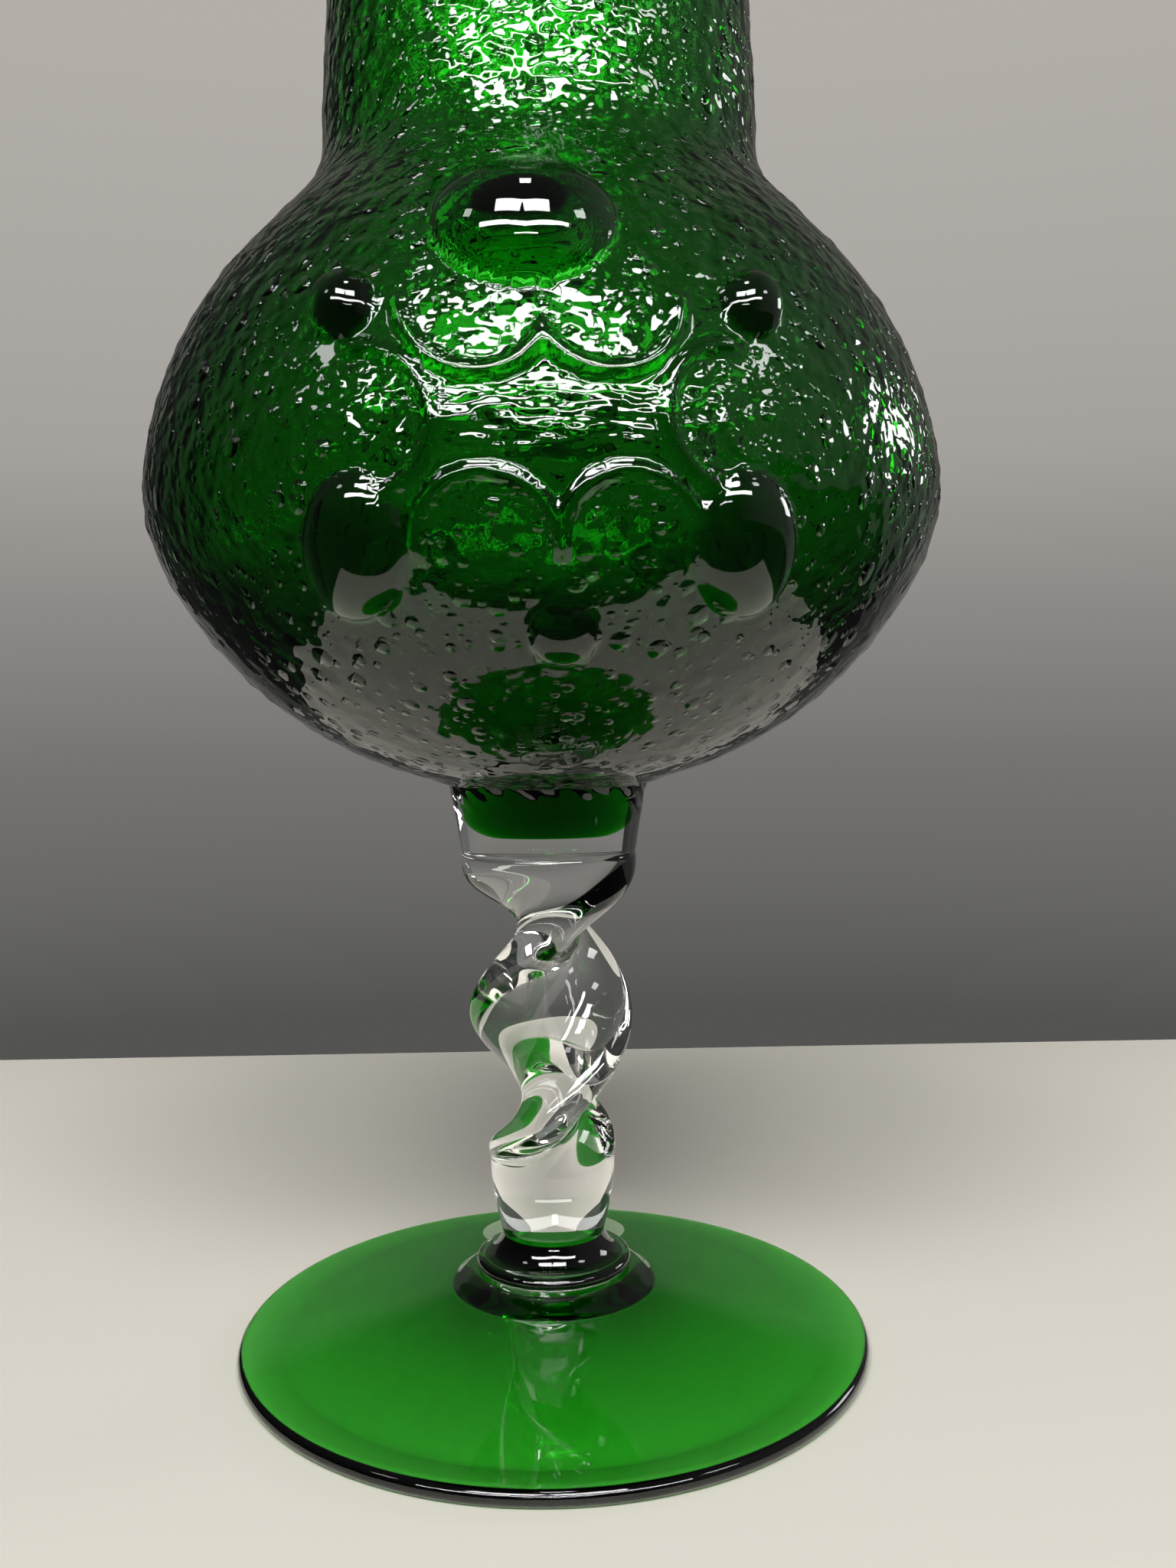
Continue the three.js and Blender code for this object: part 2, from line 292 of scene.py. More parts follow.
mouldSkin = {
    "drops": [
        {"scale": 140, "width": 0.36, "height": 1.15 * mm},
        {"scale": 230, "width": 0.41, "height": 0.78 * mm},
        {"scale": 400, "width": 0.38, "height": 0.34 * mm},
    ],
    "leastDrop": 0.35,
    "waveScale": 120,
    "waveHeight": 0.24 * mm,
    "grainScale": 240,
    "grainHeight": 1.0 * mm,
    "grainPower": 3,
    "rippleScale": (150, 150, 360),
    "rippleHeight": 0.8 * mm,
    "noiseDetail": 1,
    "noiseMiddle": 0.5,
}


def mouldNormal(nodes, links):
    # drops scattered by a cell pattern, each 1 - (distance / width)^2 high, with width and height times its
    # cell's own chance, over slow waves, all times the mesh's share "moulded"; a grain times a power of
    # that share; and flat ripples times the share "rippled"
    skin = mouldSkin
    combined, _ = mathNodes(nodes, links)

    def shareOf(name):
        share = nodes.new("ShaderNodeAttribute")
        share.attribute_name = name
        return share.outputs["Fac"]

    def noiseOf(vector, scale):
        noise = nodes.new("ShaderNodeTexNoise")
        noise.inputs["Scale"].default_value = scale
        noise.inputs["Detail"].default_value = skin["noiseDetail"]
        links.new(vector, noise.inputs["Vector"])
        return noise.outputs["Fac"]

    place = nodes.new("ShaderNodeTexCoord").outputs["Object"]
    height = combined("MULTIPLY", noiseOf(place, skin["waveScale"]), skin["waveHeight"])
    for drop in skin["drops"]:
        cell = nodes.new("ShaderNodeTexVoronoi")
        cell.inputs["Scale"].default_value = drop["scale"]
        links.new(place, cell.inputs["Vector"])
        chance = nodes.new("ShaderNodeSeparateColor")
        links.new(cell.outputs["Color"], chance.inputs["Color"])
        size = combined("MAXIMUM", chance.outputs["Red"], skin["leastDrop"])
        away = nodes.new("ShaderNodeMapRange")
        away.inputs["From Max"].default_value = drop["width"]
        links.new(combined("DIVIDE", cell.outputs["Distance"], size), away.inputs["Value"])
        fall = combined("MULTIPLY", away.outputs["Result"], away.outputs["Result"])
        tall = combined("MULTIPLY", combined("SUBTRACT", 1, fall), size)
        height = combined("ADD", height, combined("MULTIPLY", tall, drop["height"]))
    moulded = shareOf("moulded")
    pebbled = combined("MULTIPLY", height, moulded)
    grain = combined("SUBTRACT", noiseOf(place, skin["grainScale"]), skin["noiseMiddle"])
    grain = combined("MULTIPLY", grain, skin["grainHeight"])
    grain = combined("MULTIPLY", grain, combined("POWER", moulded, skin["grainPower"]))
    flat = nodes.new("ShaderNodeVectorMath")
    flat.operation = "MULTIPLY"
    flat.inputs[1].default_value = skin["rippleScale"]
    links.new(place, flat.inputs[0])
    rippled = combined("MULTIPLY", noiseOf(flat.outputs["Vector"], 1), skin["rippleHeight"])
    rippled = combined("MULTIPLY", rippled, shareOf("rippled"))
    bump = nodes.new("ShaderNodeBump")
    bump.inputs["Distance"].default_value = 1  # the heights are in metres already
    links.new(combined("ADD", combined("ADD", pebbled, grain), rippled), bump.inputs["Height"])
    return bump.outputs["Normal"]


footGlass = glassMaterial("green_foot_glass", glassTones["footGreen"], glassTones["footDepth"])
stubGlass = glassMaterial("green_stub_glass", glassTones["footGreen"], glassTones["stubDepth"])
bowlGlass = glassMaterial("green_moulded_glass", glassTones["bowlGreen"], glassTones["bowlDepth"],
                          mouldNormal)
clearGlass = glassMaterial("clear_glass", glassTones["clear"], glassTones["clearDepth"])
print("materials made")


# Foot: the bends are shares of the way across and up, or across alone, at a curve's control points

footShape = {
    "sides": 256, "rimThickness": 3.8, "restWidth": 10, "hollowRise": 7, "hollowFlat": 0.25,
    "flareRadius": 25.2, "ringHeight": 3.6, "coneBends": [(0.45, 0.38), (0.82, 0.79)],
    "flareRise": 0.25, "ringBends": (0.3, 0.36), "seatRadius": 17, "seatContact": 16.4,
}


def makeFoot():
    # a flat rest with a conical hollow inside it, a round rim, a shallow cone and a low raised ring round
    # the seat
    s = footShape
    low, high = boxOf("foot")
    top, rim = high[2], s["rimThickness"] / 2
    restOuter = (high[0] - low[0]) / 2 - rim
    restInner = restOuter - s["restWidth"]
    flareR, flareTop = s["flareRadius"], top - s["ringHeight"]
    seatR, contact = s["seatRadius"], s["seatContact"]
    cone = [(mix(restOuter, flareR, across), mix(rim * 2, flareTop, up)) for across, up in s["coneBends"]]
    ringLow, ringHigh = (mix(flareR, seatR, across) for across in s["ringBends"])
    hollow = s["hollowRise"]
    profile = chain(
        bezier([(0, hollow), (restInner * s["hollowFlat"], hollow), (restInner, 0)], count=36),
        line((restInner, 0), (restOuter, 0), count=6),
        arc(restOuter, rim, rim, -90, 90, count=16),
        bezier([(restOuter, rim * 2), *cone, (flareR, flareTop)], count=60),
        bezier([(flareR, flareTop), (ringLow, flareTop + s["flareRise"]), (ringHigh, top), (seatR, top)],
               count=30),
        line((seatR, top), (contact, top), count=2),
        line((contact, top), (0, top), count=8),
    )

    def fusedAt(centre):
        return (centre[:, 2] > top - joint["tolerance"]) & (fromAxis(centre) < contact)

    piece = turnedPiece("greenFoot", profile, s["sides"], footGlass, fusedAt)
    seat(piece, "foot")
    return top


footTop = makeFoot()


# Lower merese

mereseShape = {"sides": 192, "rimRadius": 1.7, "slopeBend": 0.6, "barrelContact": 12.1}


def makeMerese():
    # a clear disc with a round rim that slopes up to the barrel
    s = mereseShape
    low, high = boxOf("lower_merese")
    bottom, top = footTop + joint["gap"], high[2] + joint["reach"]
    rim, contact = s["rimRadius"], s["barrelContact"]
    centreR, rimTop = (high[0] - low[0]) / 2 - rim, bottom + 2 * rim
    slopeStart = (mix(centreR, contact, s["slopeBend"]), rimTop)
    profile = chain(
        line((0, bottom), (centreR, bottom), count=10),
        arc(centreR, bottom + rim, rim, -90, 90, count=20),
        bezier([(centreR, rimTop), slopeStart, (contact, top)], count=16),
        line((contact, top), (0, top), count=8),
    )
    piece = turnedPiece("clearMerese", profile, s["sides"], clearGlass, atEnds(bottom, top))
    seat(piece, "lower_merese")
    return top


mereseTop = makeMerese()


# Twisted stem: heights are over its foot, and faceOn is one where its two lobes stand side by side

stemShape = {
    "sides": 120, "rows": 300, "lobeRadius": 8.6, "lobeOffset": 10.8, "hollow": 0.16, "squareness": 0.4,
    "halfTurn": 41.9, "faceOn": 53.1, "cupRadius": 20.6, "cupBlend": 17, "cupEdge": 2,
    "barrelRadius": 14.8, "barrelFoot": 12.1, "barrelHeight": 17, "barrelBlend": 13,
    "grooveShare": 0.015, "grooveHeight": 1.2, "endRings": [0.25, 0.5, 0.75, 0.9],
}


def makeStem():
    # a section of two lobes turned in step with its height, that rounds off into a cup above and a barrel
    # below; the ends close over smaller rings
    s = stemShape
    low, high = boxOf("twisted_stem")
    length = high[2] - low[2]
    bottom, top = mereseTop + joint["gap"], high[2] + joint["reach"]
    height = np.linspace(0, length, s["rows"])[:, None]
    angle = np.linspace(0, fullTurn, s["sides"], endpoint=False)[None, :]
    cosine, sine = np.cos(angle), np.sin(angle)
    turn = math.pi * (height - s["faceOn"]) / s["halfTurn"]
    toCup = smooth((height - (length - s["cupEdge"] - s["cupBlend"])) / s["cupBlend"])
    toBarrel = smooth((s["barrelHeight"] + s["barrelBlend"] - height) / s["barrelBlend"])
    swell = np.sin(math.pi / 2 * np.clip(height / s["barrelHeight"], 0, 1))
    barrelRadius = mix(s["barrelFoot"], s["barrelRadius"], swell)
    roundRadius = np.where(toCup > toBarrel, s["cupRadius"], barrelRadius)
    roundness = np.maximum(toCup, toBarrel)
    lobe = cosine / np.hypot(cosine, s["squareness"] * sine)
    x = mix(s["lobeOffset"] * lobe + s["lobeRadius"] * cosine, roundRadius * cosine, roundness)
    y = mix(s["lobeRadius"] * sine * (1 - s["hollow"] * (1 - lobe ** 2)), roundRadius * sine, roundness)
    z = np.broadcast_to(mix(bottom, top, height / length), x.shape)
    drawnIn = 1 - s["grooveShare"] * smooth((height - length) / s["grooveHeight"] + 1)
    x, y = x * drawnIn, y * drawnIn
    rings = np.stack([x * np.cos(turn) - y * np.sin(turn), x * np.sin(turn) + y * np.cos(turn), z], -1)
    shrink = np.array(s["endRings"])[:, None, None] * [1, 1, 0] + [0, 0, 1]
    rings = np.concatenate([rings[:1] * shrink, rings, rings[-1:] * shrink[::-1]])
    vertices, faceSets = closedPoints(rings, bottom, top), closedFaces(*rings.shape[:2])
    piece = makePiece("clearTwistedStem", vertices, faceSets, clearGlass, atEnds(bottom, top))
    seat(piece, "twisted_stem")
    return top


stemTop = makeStem()


# Collar, and the bowl's stub in it: a wave is its count round the collar, its start and its lean by height

collarShape = {
    "sides": 192, "stubRadius": 13.4, "stubDepth": 11.4, "stubRounding": 6, "stubEdge": 1, "gap": 0.02,
    "groove": 0.35, "sideBend": (0.4, 0.6), "wrinkle": 0.028, "wrinkleHeight": 7, "wrinkleFrom": 3,
    "waves": [(7, 0, 0.5), (12, 1.3, -0.9), (23, 4, 1.4)],
}


def stubProfile(clearance, top):
    # the stub's rounded end and straight side from the axis outwards, or those of the pocket round it
    s = collarShape
    sideR, rounding = s["stubRadius"] + clearance, s["stubRounding"] + clearance
    floor = top - s["stubDepth"] - clearance
    centreR = sideR - rounding
    return chain(
        line((0, floor), (centreR, floor), count=5),
        arc(centreR, floor + rounding, rounding, -90, 0, count=14),
        line((sideR, top - s["stubEdge"]), (sideR, top), count=2),
    )


def makeCollar():
    # a clear cup that widens upwards, with a pocket for the stub
    s = collarShape
    low, high = boxOf("collar")
    bottom, top = stemTop + joint["gap"], high[2] + joint["reach"]
    topR, bottomR = (high[0] - low[0]) / 2, stemShape["cupRadius"]
    pocketR = s["stubRadius"] + s["gap"]
    edgeR, edgeTop = bottomR - s["groove"], bottom + s["groove"]
    bendR, bendZ = mix(bottomR, topR, s["sideBend"][0]), mix(bottom, top, s["sideBend"][1])
    profile = chain(
        line((0, bottom), (edgeR, bottom), count=10),
        bezier([(edgeR, bottom), (bottomR, bottom), (bottomR, edgeTop)], count=6),
        bezier([(bottomR, edgeTop), (bendR, bendZ), (topR, top)], count=40),
        line((topR, top), (pocketR, top), count=6),
        stubProfile(s["gap"], top)[::-1],
    )
    onEnds = atEnds(bottom, top)

    def fusedAt(centre):
        return onEnds(centre) | (fromAxis(centre) < pocketR + joint["tolerance"])

    def drawnIn(r, z, angle):
        # towards the join, wrinkles of a few waves round the outside, never past the plain radius
        waves = sum(np.sin(count * angle + start + lean * z) for count, start, lean in s["waves"])
        share = smooth((z - top) / s["wrinkleHeight"] + 1) * (r > s["stubRadius"] + s["wrinkleFrom"])
        return 1 - s["wrinkle"] * share * (0.5 + waves / (2 * len(s["waves"])))

    piece = turnedPiece("clearCollar", profile, s["sides"], clearGlass, fusedAt, drawnIn)
    seat(piece, "collar")
    return top


collarTop = makeCollar()


# Bowl: its outline and walls, in millimetres, with the bends as shares of the way between a curve's ends

bowlShape = {
    "collarRadius": 23.6, "radius": 90.4, "lowerHeight": 58.7, "lowerArc": 90.4, "creaseRounding": 11,
    "shoulderArc": 85, "shoulderDegrees": 44, "fillet": 19, "neckRadius": 49.4, "neckHeight": 108,
    "waistRadius": 47.6, "waistHeight": 48, "neckBends": (0.4, 0.6), "rimRadius": 55,
    "flareBends": [(0, 0.4), (0.4, 0.8)], "wall": 3.6, "wallPower": 3, "followInside": 0.25,
    "floor": 8, "floorFlat": 4.2, "floorBend": 0.6, "creaseRise": 0.25, "creaseWidth": 2.4,
}

# The ornament, in millimetres across and up from its middle. A field is its place, the way to the ridge
# that faces it and its depth; a boss is its place, half its width and height, and its rise. The bowl's
# crease is left out within clearRadius of clearMiddle

motif = {
    "count": 2, "rise": 10.4, "shift": 1.2, "lean": 0.08, "reachU": 50, "reachV": 34, "fade": 0.14,
    "fields": [(11.7, 21.5, 0, -1, 0.7), (34, 0.8, -1, 0, 0.5), (13.2, -22.4, 0, 1, 0.25)],
    "fieldRadius": 11.4, "fieldEdge": 1.6, "ridge": 1.1, "ridgeWidth": 3.8, "ridgeFade": 4,
    "bosses": [(-4.5, 40.4, 17.2, 16, 8.2), (2, -41, 6.8, 7.4, 2.5)],
    "bossPairs": [(38.4, 23.4, 6.8, 7.2, 4.4), (36.5, -22.6, 11.2, 14.4, 5.0)], "domePower": 0.8,
    "clearMiddle": 2, "clearRadius": 49,
}

# Pebbles: widths and heights are those of the least and the most, in cells and in rises

pebbles = {
    "cell": 6.5, "rise": 0.4, "sink": 0.62, "seed": 11, "widths": (0.25, 0.5), "heights": (0.5, 1),
    "power": 1.5, "margin": 0.15, "jitter": 0.7,
}

# Where the mould's texture is: fades in millimetres, and shares of it that are left or taken away

texture = {
    "bossRise": 1.4, "bossTaken": 0.97, "starLeft": 0.1, "calmLeft": 0.5, "calmDrop": 25, "calmFade": 30,
    "footFade": 6, "rimFade": 8, "rippleHalf": 4, "rippleFade": 5,
}

# The bowl's grid: rows in millimetres along its outline, and half of the ornament's angle in degrees

bowlGrid = {
    "motifSteps": 100, "betweenSteps": 96, "motifHalf": 34, "below": 56, "above": 60,
    "lowRow": 1.8, "motifRow": 1.05, "neckRow": 2.6, "innerRow": 4.5, "innerStart": 14, "normalStep": 0.5,
}
bowlBottom = collarTop + joint["gap"]


def bowlOutline():
    # lower arc, rounded crease, shoulder arc, straight slope, fillet and two neck curves, as one profile,
    # with the crease's distance
    s = bowlShape
    crease = np.array([s["radius"], bowlBottom + s["lowerHeight"]])
    base = np.array([s["collarRadius"], bowlBottom])
    chord = crease - base
    half = np.linalg.norm(chord) / 2
    inward = np.array([-chord[1], chord[0]]) / (2 * half)
    centre = (base + crease) / 2 + inward * math.sqrt(s["lowerArc"] ** 2 - half ** 2)
    ends = [math.degrees(math.atan2(*(p - centre)[::-1])) for p in (base, crease)]
    lower = arc(*centre, s["lowerArc"], *ends, count=200)
    shoulderR, degrees = s["shoulderArc"], s["shoulderDegrees"]
    tilt = math.radians(degrees)
    shoulder = arc(crease[0] - shoulderR, crease[1], shoulderR, 0, degrees, count=160)
    end = shoulder[-1]
    corner = np.array([s["neckRadius"], end[1] + (end[0] - s["neckRadius"]) / math.tan(tilt)])
    setback = s["fillet"] * math.tan(tilt / 2)
    filletStart = corner + setback * np.array([math.sin(tilt), -math.cos(tilt)])
    neckStart = corner + [0, setback]
    waist = np.array([s["waistRadius"], corner[1] + s["waistHeight"]])
    rim = np.array([s["rimRadius"], corner[1] + s["neckHeight"] - s["wall"] / 2])
    leaving, reaching = (mix(neckStart[1], waist[1], up) for up in s["neckBends"])
    flare = [(mix(waist[0], rim[0], across), mix(waist[1], rim[1], up)) for across, up in s["flareBends"]]
    before = lower[arcLength(lower) < arcLength(lower)[-1] - s["creaseRounding"]]
    after = shoulder[arcLength(shoulder) > s["creaseRounding"]]
    outline = chain(
        before,
        bezier([before[-1], crease, after[0]], count=30),
        after,
        line(end, filletStart, count=20),
        bezier([filletStart, corner, neckStart], count=40),
        bezier([neckStart, (neckStart[0], leaving), (waist[0], reaching), waist], count=120),
        bezier([waist, *flare, rim], count=120),
    )
    return outline, arcLength(lower)[-1]


bowlProfile, creaseAt = bowlOutline()
rimAt = arcLength(bowlProfile)[-1]
motifAt = creaseAt + motif["rise"]
motifPitch = fullTurn / motif["count"]


def ornament(u, v):
    # height over the plain wall: ridges between round fields, hollows in the fields, and the bosses' domes;
    # with it, the share of the star and that of the ground between its fields
    m = motif
    side = np.abs(u + m["lean"] * v)
    away = np.array([np.hypot(side - a, v - b) for a, b, *_ in m["fields"]])
    nearest = away.argmin(0)
    fromField = away.min(0) - m["fieldRadius"]
    inwards = np.array([(side - a) * toU + (v - b) * toV for a, b, toU, toV, _ in m["fields"]])
    facing = np.take_along_axis(inwards, nearest[None], 0)[0]
    half = m["ridgeWidth"] / 2
    reach = np.hypot(side / m["reachU"], v / m["reachV"])
    inStar = 1 - smooth((reach - 1 + m["fade"]) / m["fade"])
    ridgeShare = inStar * smooth(facing / m["ridgeFade"] + 1)
    ridge = m["ridge"] * ridgeShare * np.clip(1 - ((fromField - half) / half) ** 2, 0, None)
    hollow = np.array([field[-1] for field in m["fields"]])[nearest] * smooth(-fromField / m["fieldEdge"])
    height = ridge - hollow
    mirrored = [(-a, *rest) for a, *rest in m["bossPairs"]]
    for a, b, width, tall, rise in m["bosses"] + m["bossPairs"] + mirrored:
        across = np.hypot((u - a) / width, (v - b) / tall)
        dome = rise * np.clip(1 - across ** 2, 0, None) ** m["domePower"]
        height = np.maximum(height, dome)
    return height, inStar, smooth(fromField / m["fieldEdge"])


# A hash of a cell's three whole numbers, and the usual 64-bit congruential step between draws from it

hashing = {
    "cellFactors": (73856093, 19349663, 83492791), "seedFactor": 2654435761,
    "stepFactor": 6364136223846793005, "stepTerm": 1442695040888963407,
    "positive": 0x7FFFFFFFFFFFFFFF, "dropped": 20, "drawn": 0xFFFFF,
}


def cellDraws(cell, seed):
    # four random numbers from 0 to 1 for each cell, the same each run
    h = hashing
    x, y, z = (cell[:, i] * factor for i, factor in enumerate(h["cellFactors"]))
    mixed = x ^ y ^ z ^ seed * h["seedFactor"]
    draws = []
    for _ in range(4):
        mixed = (mixed * h["stepFactor"] + h["stepTerm"]) & h["positive"]
        draws.append(((mixed >> h["dropped"]) & h["drawn"]) / h["drawn"])
    return draws


def pebbleHeight(points):
    # round bumps of different widths at one jittered centre per cell, each 1 - (distance / width)^2 to a
    # power, and 0 past its edge; the nearest centre of the cells around is the one that counts
    p = pebbles
    base = np.floor(points / p["cell"]).astype(np.int64)
    best = np.full(len(points), np.inf)
    chance = np.zeros(len(points))
    for step in itertools.product((-1, 0, 1), repeat=3):
        near = base + step
        draws = cellDraws(near, p["seed"])
        centre = (near + p["margin"] + p["jitter"] * np.stack(draws[:3], -1)) * p["cell"]
        distance = np.linalg.norm(points - centre, axis=1)
        closer = distance < best
        best = np.where(closer, distance, best)
        chance = np.where(closer, draws[3], chance)
    width = p["cell"] * mix(*p["widths"], chance)
    return np.clip(1 - (best / width) ** 2, 0, None) ** p["power"] * mix(*p["heights"], chance)


def rowCount(start, end, step):
    # rows no further apart than a step
    return math.ceil((end - start) / step)


def outerRows():
    # distances along the outline, closest together in the ornament
    g = bowlGrid
    lowest, highest = motifAt - g["below"], motifAt + g["above"]
    return np.concatenate([
        np.linspace(0, lowest, rowCount(0, lowest, g["lowRow"]), endpoint=False),
        np.linspace(lowest, highest, rowCount(lowest, highest, g["motifRow"]), endpoint=False),
        np.linspace(highest, rimAt, rowCount(highest, rimAt, g["neckRow"]) + 1),
    ])


def outerAngles():
    # angles round the bowl, closest together in the ornament
    g = bowlGrid
    half, steps = math.radians(g["motifHalf"]), g["motifSteps"] // 2
    one = np.concatenate([
        np.linspace(0, half, steps, endpoint=False),
        np.linspace(half, motifPitch - half, g["betweenSteps"], endpoint=False),
        np.linspace(motifPitch - half, motifPitch, steps, endpoint=False),
    ])
    return np.concatenate([one + motifPitch * k for k in range(motif["count"])])


def frameAt(distance):
    # the outline's points at distances along it, and its outward normals there
    step = bowlGrid["normalStep"]
    before, after = np.maximum(distance - step, 0), np.minimum(distance + step, rimAt)
    tangent = along(bowlProfile, after) - along(bowlProfile, before)
    tangent /= np.linalg.norm(tangent, axis=-1, keepdims=True)
    return along(bowlProfile, distance), np.stack([tangent[..., 1], -tangent[..., 0]], -1)


def onMotif(point, distance, angle):
    # how far across and up from the nearest motif's middle, along the plain wall
    across = point[:, :1] * (angle - motifPitch * np.round(angle / motifPitch)) - motif["shift"]
    return across, (distance - motifAt)[:, None]


def raised(point, normal, rise, angle):
    # rings round the axis, each of their points moved out from the outline by its rise
    return around(point[:, :1] + normal[:, :1] * rise, point[:, 1:] + normal[:, 1:] * rise, angle)


def outerSurface(angle):
    # the outside's rings, moved out by ornament, pebbles and crease, and the shares of the mould's texture
    s, t = bowlShape, texture
    rows = outerRows()
    point, normal = frameAt(rows)
    u, v = onMotif(point, rows, angle)
    relief, inStar, offField = ornament(u, v)
    onBoss = smooth(relief / t["bossRise"])
    bumps = pebbleHeight(turned(point, angle).reshape(-1, 3)).reshape(relief.shape)
    nearRim = smooth((rimAt - rows) / t["rimFade"])[:, None]
    edge = smooth(rows / t["footFade"])[:, None] * nearRim
    pebbled = (pebbles["rise"] * bumps * (1 - onBoss) - pebbles["sink"] * (1 - onBoss)) * edge
    crease = s["creaseRise"] * np.exp(-((rows - creaseAt) / s["creaseWidth"]) ** 2)[:, None]
    crease = crease * (np.hypot(u, v - motif["clearMiddle"]) > motif["clearRadius"])
    rings = raised(point, normal, relief + pebbled + crease, angle)
    overCalm = point[:, 1:] - along(bowlProfile, creaseAt)[1] + t["calmDrop"]
    calmed = mix(t["calmLeft"], 1, smooth(overCalm / t["calmFade"]))
    offBoss = 1 - t["bossTaken"] * onBoss
    inRipples = 1 - smooth((np.abs(v) - t["rippleHalf"]) / t["rippleFade"])
    return rings, {
        "moulded": offBoss * mix(1, t["starLeft"], inStar * offField) * calmed * nearRim,
        "rippled": (1 - onBoss) * inStar * offField * inRipples,
    }


def innerSurface(angle):
    # the inside's rings from the rim down: the wall in from the outline, following the relief less
    s, g = bowlShape, bowlGrid
    rows = np.linspace(rimAt, g["innerStart"], rowCount(g["innerStart"], rimAt, g["innerRow"]) + 1)
    point, normal = frameAt(rows)
    wall = mix(s["floor"], s["wall"], smooth(rows / creaseAt) ** s["wallPower"])[:, None]
    relief = ornament(*onMotif(point, rows, angle))[0]
    return raised(point, normal, relief * s["followInside"] - wall, angle)


def rimRings(angle):
    # a half circle over the wall, from the outside to the inside
    wall = bowlShape["wall"]
    point, normal = frameAt(np.array([rimAt]))
    outer, inner = point[0], point[0] - normal[0] * wall
    middle = (outer + inner) / 2
    tilt = math.degrees(math.atan2(*(outer - middle)[::-1]))
    return turned(arc(*middle, wall / 2, tilt, tilt + 180, count=10)[1:-1], angle)


def makeBowl():
    # fine rings under the bowl, up its outside and over the rim, then half as many points in each ring down
    # the inside to its floor, closed by a pole below and one on the floor
    s = bowlShape
    angle = outerAngles()
    innerAngle = angle[::2]
    under = turned(line((0, bowlBottom), (s["collarRadius"], bowlBottom), count=12)[1:-1], angle)
    outside, shares = outerSurface(angle)
    inside = innerSurface(innerAngle)
    floorR, floorZ = inside[-1, :, 0].max(), inside[-1, :, 2].mean()
    floor = bowlBottom + s["floor"]
    bend, flat = (floorR * s["floorBend"], floor), (s["floorFlat"], floor)
    floorCurve = bezier([(floorR, floorZ), bend, flat], count=8)[1:]
    fine = np.concatenate([under, outside, rimRings(angle)])
    coarse = np.concatenate([inside, turned(floorCurve, innerAngle)])
    fineCount, sides = fine.shape[:2]
    coarseCount, innerSides = coarse.shape[:2]
    start = fineCount * sides
    poles = start + coarseCount * innerSides
    vertices = np.concatenate([fine.reshape(-1, 3), closedPoints(coarse, bowlBottom, floor)])
    outerRing, innerRing = np.arange(sides), start + np.arange(innerSides)
    faceSets = [
        gridFaces(fineCount, sides),
        gridFaces(coarseCount, innerSides, start),
        halvingFaces(outerRing + (fineCount - 1) * sides, innerRing),
        fanFaces(poles, outerRing, False),
        fanFaces(poles + 1, innerRing + (coarseCount - 1) * innerSides, True),
    ]
    outsideAt = slice(len(under) * sides, (len(under) + len(outside)) * sides)
    everywhere = {name: np.zeros(len(vertices)) for name in shares}
    for name, share in shares.items():
        everywhere[name][outsideAt] = share.ravel()

    def fusedAt(centre):
        return (centre[:, 2] < bowlBottom + joint["tolerance"]) & (fromAxis(centre) < s["collarRadius"])

    piece = makePiece("greenBowl", vertices, faceSets, bowlGlass, fusedAt, everywhere)
    seat(piece, "bowl")
    print("bowl triangles", sum(len(f) * (f.shape[1] - 2) for f in faceSets))


makeBowl()


def makeStub():
    # the bowl's solid end in the collar, a cylinder with a rounded lower edge, fused all round
    s = collarShape
    closing = line((s["stubRadius"], collarTop), (0, collarTop), count=6)
    profile = chain(stubProfile(0, collarTop), closing)
    piece = turnedPiece("greenStub", profile, s["sides"], stubGlass, lambda centre: np.ones(len(centre)))
    seat(piece, "bowl")


makeStub()


# Where the camera stands, in millimetres and degrees; focal and picture are in the photograph's pixels, and
# clipStart is in metres

cameraFacts = {
    "back": 341.25, "height": 159.75, "pitch": 4.35, "yaw": 1.58, "roll": 0.6, "focal": 1897,
    "picture": (1536, 2048), "sensor": 36, "clipStart": 0.01,
}


# Studio, in metres: a pale table with a painted glow in gloss, a grey backdrop with painted light by
# height, and a sky by direction

studio = {
    # the table's gloss gain is a painted glow, and its dim floor past the edges is a painted reflection of
    # a dim room
    "tableColour": (0.583, 0.552, 0.49), "tableRoughness": 0.6, "tableGlossGlow": 0.35, "paintedRoomInGloss": 0.03,
    "tableBack": 0.267, "tableSpan": 3.0, "tableDrop": 0.0001,
    "tableLeft": -0.212, "tableRight": 0.27, "tableFront": -0.152,
    "wallAt": 0.35, "wallLeft": -0.3, "wallRight": 0.4, "wallTop": 1.2, "wallLow": -0.2, "wallHigh": 0.6,
    # painted light: the wall's tones grow lighter and warmer upwards
    "paintedWallLight": [(0.0, 0.088), (0.06, 0.138), (0.12, 0.178), (0.19, 0.263), (0.26, 0.376), (0.33, 0.41),
                  (0.45, 0.45)],
    "lowTint": (1, 1, 0.965), "highTint": (1, 0.945, 0.88),
    # painted shade: the wall's share left high up in gloss and through glass, and the heights where the
    # dimming starts
    "paintedShadeGloss": 0.3, "paintedShadeThrough": 0.6, "paintedShadeFrom": (0.14, 0.24),
    # painted glow: a bright patch on the wall that only glass shows, with its strength, edges and lower end
    "paintedGlow": 1.2, "paintedPatchLeft": -0.068, "paintedPatchRight": 0.04, "paintedPatchLow": 0.43, "paintedPatchEdge": 0.006,
    "skyLow": 0.12, "skyHigh": 0.32, "roomLow": 0.03, "roomHigh": 0.1,
    "rightGlow": 0.15, "rightFrom": (0.3, 0.95), "rootGuard": 1.0001, "lampAim": 0.2,
}


